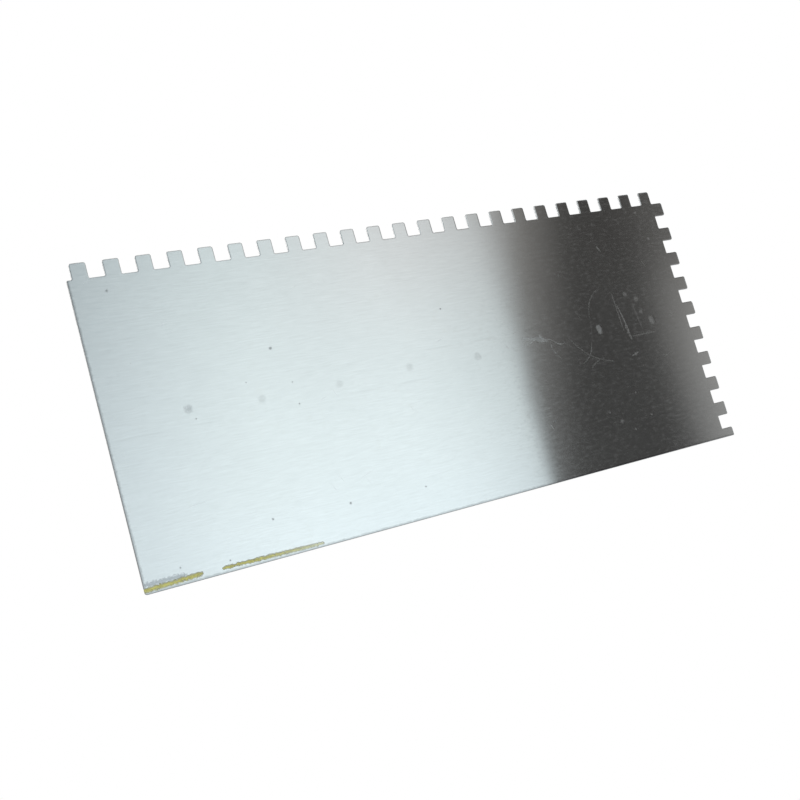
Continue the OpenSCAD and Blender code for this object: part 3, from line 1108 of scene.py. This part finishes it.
@dataclass
class Rail:
    """The folded channel, with sloping ends and the spot welder's marks in its floor."""

    thickness: float = 1.5
    bend_radius: float = 2.0
    shear_radius: float = 0.25
    nose_length: float = 9.0
    nose_height: float = 3.0
    weld_radius: float = 2.0
    weld_dent: float = 0.2
    spacing: float = 0.55
    welds: Places = ()

    def section(self) -> np.ndarray:
        """The channel's outline in Y and Z, anticlockwise, with evenly spaced points."""
        low, high = node_box("rail")
        w, b, t = high[1], low[2], high[2]
        inner, floor = w - self.thickness, b + self.thickness
        corners = np.array([
            [-w, b], [w, b], [w, t], [inner, t], [inner, floor], [-inner, floor], [-inner, t], [-w, t],
        ])
        bend, shear = self.bend_radius, self.shear_radius
        hollow = bend - self.thickness
        radii = np.array([bend, bend, shear, shear, hollow, hollow, shear, shear])
        return resampled(rounded(corners, radii, steps=6), self.spacing)

    def shell(self) -> Shell:
        """The section carried along X.

        Towards the ends every height above the floor is scaled so that the walls' tops follow the
        slope. Each weld presses the floor down by its dent times a smooth step of the distance.
        """
        low, high = node_box("rail")
        section = self.section()
        floor = low[2] + self.thickness
        at_welds = [x + np.linspace(-3, 3, 25) for x, _ in self.welds]
        nose = np.linspace(high[0] - self.nose_length, high[0], 8)
        even = np.linspace(low[0], high[0], 120)
        x = np.unique(np.round(np.concatenate([even, *at_welds, nose, -nose]), 3))
        y = np.repeat(section[None, :, 0], len(x), 0)
        z = np.repeat(section[None, :, 1], len(x), 0)
        top = np.clip((high[0] - np.abs(x)) / self.nose_length, 0, 1)
        top = low[2] + self.nose_height + top * (high[2] - low[2] - self.nose_height)
        scale = ((top - floor) / (high[2] - floor))[:, None]
        z = np.where(z > floor, floor + (z - floor) * scale, z)
        on_floor = (np.abs(z - floor) < 0.05) & (np.abs(y) < high[1] - self.bend_radius)
        for wx, wy in self.welds:
            off = np.hypot(x[:, None] - wx, y - wy) / self.weld_radius
            press = np.clip((1.25 - off) / 0.5, 0, 1)
            lip = np.exp(-(((off - 1.35) / 0.18) ** 2)) * 0.25
            z = z - on_floor * self.weld_dent * (press * press * (3 - 2 * press) - lip)
        wear = np.clip((z - (top[:, None] - 0.6)) / 0.6, 0, 1)
        rings = np.stack([spread(x, len(section)), y, z], axis=-1)
        return loft(rings, wear)

    def build(self) -> None:
        """Makes the piece and dresses it."""
        zinc = PlatedSteel(
            "rail_zinc", (0.56, 0.57, 0.58), 0.34, (22.0, 0.35, 0.35), mottling=0.16,
            heat_spots=self.welds, heat_radius=self.weld_radius,
        )
        piece = put_mesh("channel_rail", self.shell(), sharp=40.0)
        stand_in(piece, "rail", zinc.material())


@dataclass
class Post:
    """A cast post: tongue in the rail, foot on its walls, stem, round pad and washer seat."""

    end: End
    material: bpy.types.Material
    width: float = 13.0
    stem: float = 7.0
    foot: float = 3.5
    outer_sweep: float = 24.0
    inner_sweep: float = 9.0
    tongue: float = 7.8
    toe_radius: float = 1.5
    corner: float = 1.4
    pad: float = 30.0
    seat: float = 15.0
    seat_height: float = 1.0
    grip_height: float = 60.0
    rail_top: float = 10.7
    rail_sheet: float = 1.5
    foot_edge: float = 0.01

    def side(self, sweep: float) -> np.ndarray:
        """One side of the post's silhouette, from the foot's underside up to the pad.

        It rises at the toe, turns in round the toe's edge, follows a quarter circle of the sweep
        that ends on the stem, and goes straight up.

        Args:
            sweep: Radius of the sweep, which is also how far the toe is from the stem's side.

        Returns:
            Rows of distance from the stem's side, and height.
        """
        toe, top = self.toe_radius, self.rail_top + self.foot
        angle = np.linspace(0, np.pi / 2, 6)
        edge = np.column_stack([sweep - toe + toe * np.cos(angle), top - toe + toe * np.sin(angle)])
        angle = np.linspace(math.asin(toe / sweep), np.pi / 2, 26)
        arc = np.column_stack([sweep - sweep * np.sin(angle), top + sweep - sweep * np.cos(angle)])
        line = [[0.0, self.grip_height + self.pad]]
        return np.vstack([[[sweep, self.rail_top]], edge, arc, line])

    def shell(self) -> Shell:
        """The casting as level slices, from the tongue up to the top of the pad.

        A slice is a rounded rectangle between the two sides of the silhouette. Its half width is
        the foot's, until the pad's circle sqrt(R^2 - (z - h)^2) outgrows it; the two are blended
        by the sixth root of the sum of their sixth powers. Near the pad's top the slice also
        closes in along X, on a small circle.
        """
        low, high = node_box(f"{self.end.word}_post")
        x_in = min(abs(low[0]), abs(high[0])) + self.inner_sweep
        x_out = x_in + self.stem
        inner, outer = self.side(self.inner_sweep), self.side(self.outer_sweep)
        radius, h = self.pad / 2, self.grip_height
        rim = h + radius * np.sin(np.linspace(-0.5, 0.5, 60) * np.pi)
        z = np.concatenate([inner[:, 1], outer[:, 1], rim, np.linspace(h - radius, h, 30)])
        z = np.unique(np.round(z[(z >= self.rail_top) & (z < h + radius - 0.004)], 2))
        left = x_in - np.interp(z, inner[:, 1], inner[:, 0])
        right = x_out + np.interp(z, outer[:, 1], outer[:, 0])
        circle = np.sqrt(np.clip(radius**2 - (z - h) ** 2, 0, None))
        blend = ((self.width / 2) ** 6 + circle**6) ** (1 / 6)
        half = np.where(z < h, blend, np.maximum(circle, 0.3))
        soft = self.corner
        to_top = np.clip(soft - (h + radius - z), 0, soft)
        shrink = soft - np.sqrt(soft**2 - to_top**2)
        left, right = left + shrink, right - shrink

        base = node_box("rail")[0][2] + self.rail_sheet
        heights = np.concatenate([[base, base + 0.5, self.rail_top - self.foot_edge], z])
        lefts = np.concatenate([[x_in - self.inner_sweep] * 3, left])
        rights = np.concatenate([[x_out + self.outer_sweep] * 3, right])
        halves = np.concatenate([[self.tongue / 2 - 0.5, self.tongue / 2, self.tongue / 2], half])
        rings = np.stack([
            self.slice_ring(*measures) for measures in zip(lefts, rights, halves, heights)
        ])
        casting = loft(rings, self.slice_wear(rings, h, radius))
        return casting.joined(self.washer_seat(x_out))

    def washer_seat(self, x_out: float) -> Shell:
        """The round boss that stands out from the pad, with a bevelled rim.

        Args:
            x_out: X of the pad's outer side, in millimetres.

        Returns:
            The boss, a little sunk into the pad.
        """
        radius, top = self.seat / 2, self.seat_height
        bevel, sunk, tip = 0.25, -0.5, 0.01 * radius
        profile = np.array([
            [sunk, tip], [sunk, radius], [top - bevel, radius], [top, radius - bevel], [top, tip],
        ])
        return turned(profile + (x_out, 0), self.grip_height, 64)

    def slice_ring(self, left: float, right: float, half: float, z: float) -> np.ndarray:
        """A level rounded rectangle, whose corner radius is at most 0.48 of its smaller side."""
        corners = np.array([[left, -half], [right, -half], [right, half], [left, half]])
        radius = min(self.corner, 0.48 * (right - left), 0.48 * 2 * half)
        flat = rounded(corners, np.full(4, radius), steps=7)
        return np.column_stack([flat, np.full(len(flat), z)])

    def slice_wear(self, rings: np.ndarray, h: float, radius: float) -> np.ndarray:
        """Wear is highest on the slices' rounded corners and on the rim of the pad."""
        corner = np.sin(np.linspace(0, np.pi, rings.shape[1] // 4))
        wear = np.tile(corner, (rings.shape[0], 4))
        off = np.hypot(rings[..., 1], rings[..., 2] - h)
        return np.maximum(wear, np.clip((off - radius + 1.0), 0, 1) * (rings[..., 2] > h - radius))

    def build(self) -> None:
        """Makes the piece and dresses it."""
        shell = self.shell()
        if self.end is End.REAR:
            shell = shell.mirrored()
        piece = put_mesh(f"{self.end.word}_post_casting", shell, sharp=40.0)
        stand_in(piece, f"{self.end.word}_post", self.material)


@dataclass
class PostRivets:
    """The two rivets that pin a post into the rail, with a domed head at both ends."""

    end: End
    material: bpy.types.Material
    shank: float = 4.0
    head: float = 7.0
    head_height: float = 1.8
    rail_width: float = 11.0

    def shell(self) -> Shell:
        """Both rivets, each a profile turned about Y: dome, rounded rim, shank and again.

        The dome's height at radius r is the head's height times (1 - (r / R)^2.4).
        """
        low, high = node_box(f"{self.end.word}_post_rivets")
        z = (low[2] + high[2]) / 2
        r = self.head / 2 * np.sin(np.linspace(0.002, np.pi / 2, 18))
        wall, rim = self.rail_width / 2, 0.2
        dome = wall + rim + (self.head_height - rim) * (1 - (2 * r / self.head) ** 2.4)
        under = [[wall + 0.06, self.head / 2], [wall, self.head / 2 - 0.1], [wall, self.shank / 2]]
        half = np.vstack([np.column_stack([dome, r]), under])
        profile = np.vstack([half, (half * (-1, 1))[::-1]])
        angle = np.linspace(0, 2 * np.pi, 40, endpoint=False)
        wear = spread(rim_wear(profile), len(angle))
        pair = []
        for x in (low[0] + self.head / 2, high[0] - self.head / 2):
            rings = np.stack([
                x + profile[:, 1:] * np.cos(angle),
                spread(profile[:, 0], len(angle)),
                z + profile[:, 1:] * np.sin(angle),
            ], axis=-1)
            pair.append(loft(rings, wear))
        return pair[0].joined(pair[1])

    def build(self) -> None:
        """Makes the piece and dresses it."""
        node = f"{self.end.word}_post_rivets"
        piece = put_mesh(f"{node}_pair", self.shell(), sharp=50.0)
        stand_in(piece, node, self.material)


@dataclass
class Grip:
    """The turned wooden grip between its two ferrules."""

    ferrule_length: float = 12.0
    ferrule_wall: float = 1.0
    fullness: float = 2.2
    shoulder: float = 0.7
    crimps: int = 3
    crimp_depth: float = 0.55
    crimp_size: float = 1.3
    rod_hole: float = 6.6

    def wood(self) -> Shell:
        """The wood: spigots in the ferrules, and a barrel of radius e + (b - e)(1 - |t|^2.2)."""
        _, end, belly, height = round_box("grip")
        mouth_r = round_box("front_ferrule")[2]
        mouth = end + self.ferrule_wall - self.ferrule_length
        spigot = mouth_r - self.ferrule_wall - 0.05
        t = np.sin(np.linspace(-0.5, 0.5, 161) * np.pi)
        barrel = mouth_r + (belly - mouth_r) * (1 - np.abs(t) ** self.fullness)
        soft = self.shoulder
        near = np.clip(soft - (1 - np.abs(t)) * mouth, 0, soft)
        barrel = barrel - (soft - np.sqrt(soft**2 - near**2))
        rear = np.array([[-end, 0.01], [-end, spigot], [-mouth, spigot]])
        profile = np.vstack([rear, np.column_stack([t * mouth, barrel]), rear[::-1] * (-1, 1)])
        return turned(profile, height, 128)

    def ferrule(self) -> Shell:
        """The front ferrule: a drawn cap with a rounded end and punched crimps round its mouth.

        A crimp lowers the radius by its depth times exp(-(d / size)^2), where d is the distance
        from its centre along the surface.
        """
        mouth, end, radius, height = round_box("front_ferrule")
        wall = self.ferrule_wall
        angle = np.linspace(0, np.pi / 2, 7)
        lip = wall / 2
        outer = np.vstack([
            [[mouth + 2.0, radius - wall]],
            np.column_stack([mouth + lip - lip * np.sin(angle), radius - lip - lip * np.cos(angle)]),
            np.column_stack([mouth + lip - lip * np.cos(angle), radius - lip + lip * np.sin(angle)]),
            np.column_stack([np.linspace(mouth + 0.8, end - 1.1, 36), np.full(36, radius)]),
            np.column_stack([end - wall + wall * np.sin(angle), radius - wall + wall * np.cos(angle)]),
        ])
        hole = self.rod_hole / 2
        profile = np.vstack([[[mouth + 2.0, hole]], outer, [[end, hole]]])
        shell = turned(profile, height, 120)
        y, z = shell.points[:, 1], shell.points[:, 2] - height
        r = np.hypot(y, z)
        turn = np.arctan2(y, z)
        for k in range(self.crimps):
            centre = (k + 0.5) * 2 * np.pi / self.crimps
            apart = (turn - centre + np.pi) % (2 * np.pi) - np.pi
            off = np.hypot(apart * radius, shell.points[:, 0] - mouth - 4.0)
            fall = self.crimp_depth * np.exp(-((off / self.crimp_size) ** 2)) * (r > radius - 0.4)
            shell.points[:, 1] -= fall * np.sin(turn)
            shell.points[:, 2] -= fall * np.cos(turn)
        return shell

    def build(self) -> None:
        """Makes the pieces and dresses them."""
        _, end_x, _, height = round_box("grip")
        beech = VarnishedBeech(height=height, half_length=end_x)
        stand_in(put_mesh("turned_grip", self.wood(), sharp=60.0), "grip", beech.material())
        plate = PlatedSteel(
            "ferrule_plate", (0.66, 0.66, 0.665), 0.24, (0.3, 9.0, 9.0), mottling=0.06
        ).material()
        shell = self.ferrule()
        for end, made in ((End.FRONT, shell), (End.REAR, shell.mirrored())):
            piece = put_mesh(f"{end.word}_ferrule_cap", made, sharp=50.0)
            stand_in(piece, f"{end.word}_ferrule", plate)


@dataclass
class TieRodHardware:
    """The washers and dome nuts that hold the grip on its tie rod."""

    hexagon: float = 6.0
    bore: float = 6.2
    washer_bore: float = 6.4

    def washer(self) -> Shell:
        """The front washer: a ring whose outer rims are rounded."""
        near, far, radius, height = round_box("front_washer")
        soft = (far - near) * 0.3
        angle = np.linspace(0, np.pi / 2, 6)
        profile = np.vstack([
            [[near, self.washer_bore / 2]],
            np.column_stack([near + soft - soft * np.cos(angle), radius - soft + soft * np.sin(angle)]),
            np.column_stack([far - soft + soft * np.sin(angle), radius - soft + soft * np.cos(angle)]),
            [[far, self.washer_bore / 2]],
        ])
        return turned(profile, height, 72)

    def dome_nut(self) -> Shell:
        """The front dome nut.

        At angle t the hexagon's radius is (f / 2) / cos(t folded to within 30 degrees). It is cut
        by a cone at both its ends. A short neck follows, and then a quarter circle to the tip.
        """
        start, end, _, height = round_box("front_dome_nut")
        low, high = node_box("front_dome_nut")
        flats = high[1] - low[1]
        dome, cone = flats * 0.45, flats / math.cos(math.pi / 6) / 2 - flats / 2
        angle = np.linspace(0, 2 * np.pi, 144, endpoint=False)
        folded = (angle + np.pi / 6) % (np.pi / 3) - np.pi / 6
        hexagon = flats / 2 / np.cos(folded)

        levels = np.array([0.0, 0.12, 0.3, 0.6, 0.9, 1.3])
        cut = flats / 2 - 0.25 + (cone + 0.25) * np.sqrt(np.clip(levels / 1.1, 0, 1))
        flanks = np.minimum(hexagon, np.concatenate([cut, cut[::-1]])[:, None])
        tip = np.linspace(0, np.pi / 2, 16)[:-1]
        rounds = np.concatenate([[dome + 0.35, dome], dome * np.cos(tip), [0.02]])
        bore = np.full((1, len(angle)), self.bore / 2)
        radius = np.vstack([bore, flanks, spread(rounds, len(angle))])

        neck_end = end - start - dome
        x = start + np.concatenate([
            [0.0], levels, self.hexagon - levels[::-1], [self.hexagon, self.hexagon + 0.25],
            neck_end + dome * np.sin(tip), [end - start],
        ])
        wear = np.zeros_like(radius)
        wear[1 : 1 + len(flanks)] = np.clip((flanks - flats / 2) / cone, 0, 1) ** 3
        points = np.stack([
            spread(x, len(angle)),
            radius * np.sin(angle),
            height + radius * np.cos(angle),
        ], axis=-1)
        return loft(points, wear)

    def build(self) -> None:
        """Makes the pieces and dresses them."""
        zinc = PlatedSteel(
            "bright_zinc", (0.64, 0.67, 0.70), 0.2, (0.25, 6.0, 6.0), mottling=0.07,
            warm=(0.66, 0.63, 0.50),
        ).material()
        washer, nut = self.washer(), self.dome_nut()
        for end in End:
            flip = end is End.REAR
            piece = put_mesh(f"{end.word}_washer_ring", washer.mirrored() if flip else washer)
            stand_in(piece, f"{end.word}_washer", zinc)
            piece = put_mesh(f"{end.word}_dome_nut_cap", nut.mirrored() if flip else nut, sharp=30.0)
            stand_in(piece, f"{end.word}_dome_nut", zinc)
        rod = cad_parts["tie_rod"]
        rod.data.materials.clear()
        rod.data.materials.append(zinc)


# ---------------------------------------------------------------------------------------------
# Stage
# ---------------------------------------------------------------------------------------------


@dataclass
class Studio:
    """Floor, reflecting card, lights, sky and camera."""

    target: Triple = (-23.65, 12.0, 0.0)
    azimuth: float = -103.58
    elevation: float = -59.5
    roll: float = -117.59
    distance: float = 458.9
    lens: float = 53.14
    sensor: float = 36.0
    clip: tuple[float, float] = (0.01, 20.0)
    floor_gap: float = 0.3
    floor_half: float = 2400.0
    card_depth: float = 395.0
    card_half: float = 2600.0
    lamp_aim: float = 30.0

    def camera(self) -> None:
        """Places the camera below the working face, by angles about its target."""
        a, e = math.radians(self.azimuth), math.radians(self.elevation)
        back = Vector((math.sin(a) * math.cos(e), -math.cos(a) * math.cos(e), math.sin(e)))
        level = Vector((0, 0, 1)).cross(back).normalized()
        axes = Matrix((level, back.cross(level), back)).transposed()
        turn = axes @ Matrix.Rotation(math.radians(self.roll), 3, "Z")
        data = bpy.data.cameras.new("camera")
        data.lens, data.sensor_width = self.lens, self.sensor
        data.clip_start, data.clip_end = self.clip
        camera = bpy.data.objects.new("camera", data)
        stand = (Vector(self.target) + back * self.distance) * MM
        camera.matrix_world = Matrix.Translation(stand) @ turn.to_4x4()
        bpy.context.scene.collection.objects.link(camera)
        bpy.context.scene.camera = camera

    def sheet(
        self, name: str, half: float, z: float, hole: np.ndarray | None = None
    ) -> bpy.types.Object:
        """Makes a level square that faces up, as part of the stage.

        Args:
            name: Name of the object.
            half: Half the length of its sides.
            z: Its height.
            hole: Half sizes of a rectangular hole in its middle, or None for no hole.

        Returns:
            The object.
        """
        square = np.array([[-1, -1], [1, -1], [1, 1], [-1, 1]])
        corners, faces = square * half, [(0, 1, 2, 3)]
        if hole is not None:
            corners = np.vstack([corners, square * hole])
            faces = [(i, (i + 1) % 4, 4 + (i + 1) % 4, 4 + i) for i in range(4)]
        points = np.column_stack([corners, np.full(len(corners), z)]) * MM
        mesh = bpy.data.meshes.new(name)
        mesh.from_pydata(points.tolist(), [], faces)
        made = bpy.data.objects.new(name, mesh)
        bpy.context.scene.collection.objects.link(made)
        return made

    def floor(self) -> None:
        """A pale floor that fades out far away.

        The camera looks up at the working face, so the floor is clear from below, and it is open
        under the blade.
        """
        made = self.sheet("floor", self.floor_half, -self.floor_gap, node_box("blade")[1][:2])
        material, g = empty_material("pale_floor")
        place = g.millimetres()
        far = g.smooth(g.vector("LENGTH", place), self.floor_half * 0.4, self.floor_half * 0.95)
        pale = g.add("BsdfDiffuse")
        grain = g.noise(place, 0.01, 3.0, 0.5)
        g.feed(pale.inputs["Color"], g.colour(grain, (0.80, 0.80, 0.79), (0.83, 0.83, 0.82)))
        mix = g.add("MixShader")
        g.feed(mix.inputs[0], g.most([g.add("NewGeometry").outputs["Backfacing"], far]))
        g.feed(mix.inputs[1], pale.outputs[0])
        g.feed(mix.inputs[2], g.add("BsdfTransparent").outputs[0])
        g.feed(g.add("OutputMaterial").inputs["Surface"], mix.outputs[0])
        made.data.materials.append(material)

    def card(self) -> None:
        """The panel under the trowel that the working face mirrors: white, with a dark opening.

        Seen in the face, the panel's places run from about -30 to 530 along X and from -185 to 50
        along Y. It brightens towards +Y, falls off slowly and then sharply along X, and has a
        paler band beyond the dark opening.
        """
        made = self.sheet("reflected_card", self.card_half, -self.card_depth)
        material, g = empty_material("soft_card")
        x, y, _ = g.parts(g.millimetres())
        up = g.smooth(y, -330.0, 180.0)
        lift = g.smooth(y, -330.0, 90.0)

        bright = g.number(lift, 0.86, 1.40)
        inward = g.smooth(x, -120.0, 110.0)
        bright = g.times(bright, g.number(inward, g.number(up, 0.436, 0.812), 1.0))
        bright = g.times(bright, g.smooth(x, 200.0, 345.0, 1.0, 0.77))
        warm = g.times(g.smooth(x, 60.0, 260.0), g.smooth(y, -60.0, -190.0))
        cold = g.most([g.smooth(y, 5.0, 60.0), g.smooth(x, 90.0, -60.0)])
        white = g.colour(cold, (0.905, 1.0, 1.0), (0.895, 1.0, 1.03))
        white = g.tinted(g.colour(warm, white, (1.0, 1.0, 0.985)), bright)

        edge = g.less(x, g.number(lift, 340.0, 319.0))
        width = g.math("MAXIMUM", g.number(up, 46.0, -12.0), 2.0)
        beyond = g.smooth(edge, g.times(width, -1.0), width)
        shade = g.smooth(edge, 0.0, g.number(up, 115.0, 30.0), g.number(up, 0.36, 0.11), 0.062)
        paler = g.smooth(x, 455.0, 545.0)
        band = g.times(paler, g.number(g.smooth(y, -150.0, -60.0), 0.05, 0.37))
        brown = g.colour(up, (1.07, 1.0, 0.92), (1.0, 1.0, 0.98))
        dark = g.tinted(brown, g.plus(shade, band))
        glow = g.add("Emission")
        g.feed(glow.inputs["Color"], g.colour(beyond, white, dark))
        g.feed(g.add("OutputMaterial").inputs["Surface"], glow.outputs[0])
        made.data.materials.append(material)
        made.visible_camera = False
        made.visible_diffuse = False
        made.visible_shadow = False

    def lamp(
        self, name: str, place: Triple, size: float, watts: float, colour: Triple, mirrored: bool = True
    ) -> None:
        """Adds a square soft light that points at the middle of the trowel.

        Args:
            name: Name of the light.
            place: Where it stands, in millimetres.
            size: Length of its sides, in millimetres.
            watts: Its power.
            colour: Its colour.
            mirrored: Whether polished metal shows it.
        """
        data = bpy.data.lights.new(name, "AREA")
        data.shape, data.size, data.energy, data.color = "SQUARE", size * MM, watts, colour
        made = bpy.data.objects.new(name, data)
        spot = Vector(place) * MM
        made.location = spot
        made.visible_glossy = mirrored
        off = spot - Vector((0, 0, self.lamp_aim * MM))
        made.rotation_euler = off.to_track_quat("Z", "Y").to_euler()
        bpy.context.scene.collection.objects.link(made)

    def sky(self) -> None:
        """White to the camera, and below the horizon a grey darker than the floor, painted shade under the
        blade; a soft gradient lights and is mirrored.
        """
        world = bpy.data.worlds.new("studio_sky")
        bpy.context.scene.world = world
        world.use_nodes = True
        world.node_tree.nodes.clear()
        g = Graph(world.node_tree)
        height = g.parts(g.add("TexCoord").outputs["Generated"])[2]
        # Camera rays well below the horizon see a grey darker than the floor: painted shade for the floor
        # under the blade, seen through the floor's opening.
        seen = g.colour(g.smooth(height, -0.3, -0.02), (0.70, 0.70, 0.69), (1.0, 1.0, 1.0))
        above = g.colour(g.smooth(height, 0.05, 0.9), (0.16, 0.165, 0.175), (0.72, 0.73, 0.74))
        lit = g.colour(g.smooth(height, -0.04, 0.0), (0.62, 0.62, 0.62), above)
        back = g.add("Background")
        g.feed(back.inputs["Color"], g.colour(g.add("LightPath").outputs["Is Camera Ray"], lit, seen))
        g.feed(g.add("OutputWorld").inputs["Surface"], back.outputs[0])

    def build(self) -> None:
        """Sets up the whole stage."""
        bpy.context.scene.view_settings.view_transform = "Standard"
        self.camera()
        self.floor()
        self.card()
        self.sky()
        self.lamp("key", (-620, -660, 860), 800, 7.5, (1.0, 0.985, 0.96))
        self.lamp("fill", (900, 300, 700), 900, 2.5, (0.95, 0.98, 1.0), mirrored=False)
        self.lamp("rim", (-200, 900, 520), 500, 2.5, (1.0, 1.0, 1.0), mirrored=False)


def weld_places() -> Places:
    """Places of the spot welds: an even row along the rail, each set a little off by a listed shift.

    Returns:
        X and Y of each weld, in millimetres.
    """
    shifts = ((2, -0.5), (-1, 1), (0, 1), (0.5, 0), (1.5, 1), (2, -1), (3.5, -0.5), (2.5, 0))
    low, high = node_box("rail")
    inset = 13.0
    even = np.linspace(low[0] + inset, high[0] - inset, len(shifts))
    return tuple((float(x + dx), float(dy)) for x, (dx, dy) in zip(even, shifts))


def main() -> None:
    """Builds the stage and every sub-assembly."""
    logging.basicConfig(level=logging.INFO, format="%(name)s: %(message)s")
    Studio().build()
    welds = weld_places()
    Blade(welds=welds).build()
    Rail(welds=welds).build()
    aluminium = CastAluminium().material()
    rivet = PlatedSteel("rivet_plate", (0.52, 0.53, 0.54), 0.3, (1.2, 1.2, 1.2), mottling=0.14)
    plated = rivet.material()
    for end in End:
        Post(end, aluminium).build()
        PostRivets(end, plated).build()
    Grip().build()
    TieRodHardware().build()
    bpy.context.view_layer.update()


if __name__ == "__main__":
    main()
